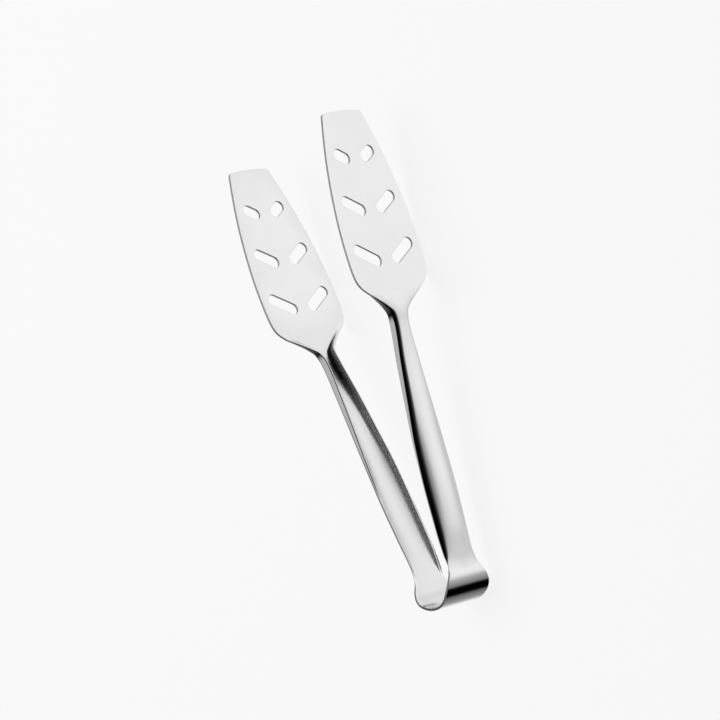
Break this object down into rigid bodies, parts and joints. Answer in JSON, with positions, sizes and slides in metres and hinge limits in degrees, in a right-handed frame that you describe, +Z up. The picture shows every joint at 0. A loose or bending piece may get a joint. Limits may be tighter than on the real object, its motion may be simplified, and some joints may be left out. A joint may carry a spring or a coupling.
{
  "type": "buffet tongs",
  "caption": "Buffet tongs: pressed channel handles joined by a U-shaped spring bow, ending in flat slotted blades that grip food.",
  "frame": {"origin": "under the middle of the bounding box, on the surface that the tongs lie on", "axes": "+X is the way that the near arm's blade opens, +Y runs from the bow to the blade tips, +Z is up"},
  "size_m": [0.0764, 0.2406, 0.0495],
  "materials": {
    "stainless_steel": "polished"
  },
  "bodies": {
    "bow": {"spring_bow": "stainless_steel"},
    "near": {"near_arm": "stainless_steel"},
    "far": {"far_arm": "stainless_steel"}
  },
  "joints": [
    {"name": "near_arm_squeeze", "type": "hinge", "parent": "bow", "child": "near", "pos_m": [0.00815, -0.11423, 0.01471], "axis": [0, -0.0614, 0.9981], "range_deg": [0, 8.9], "stiffness_Nm_per_rad": 4, "deforming": ["spring_bow"]},
    {"name": "far_arm_squeeze", "type": "hinge", "parent": "bow", "child": "far", "pos_m": [-0.00815, -0.11423, 0.01471], "axis": [0, 0.0614, -0.9981], "range_deg": [0, 8.9], "stiffness_Nm_per_rad": 4, "deforming": ["spring_bow"]}
  ],
  "couplings": [
    {"joint": "far_arm_squeeze", "follows": "near_arm_squeeze", "ratio": 1}
  ]
}
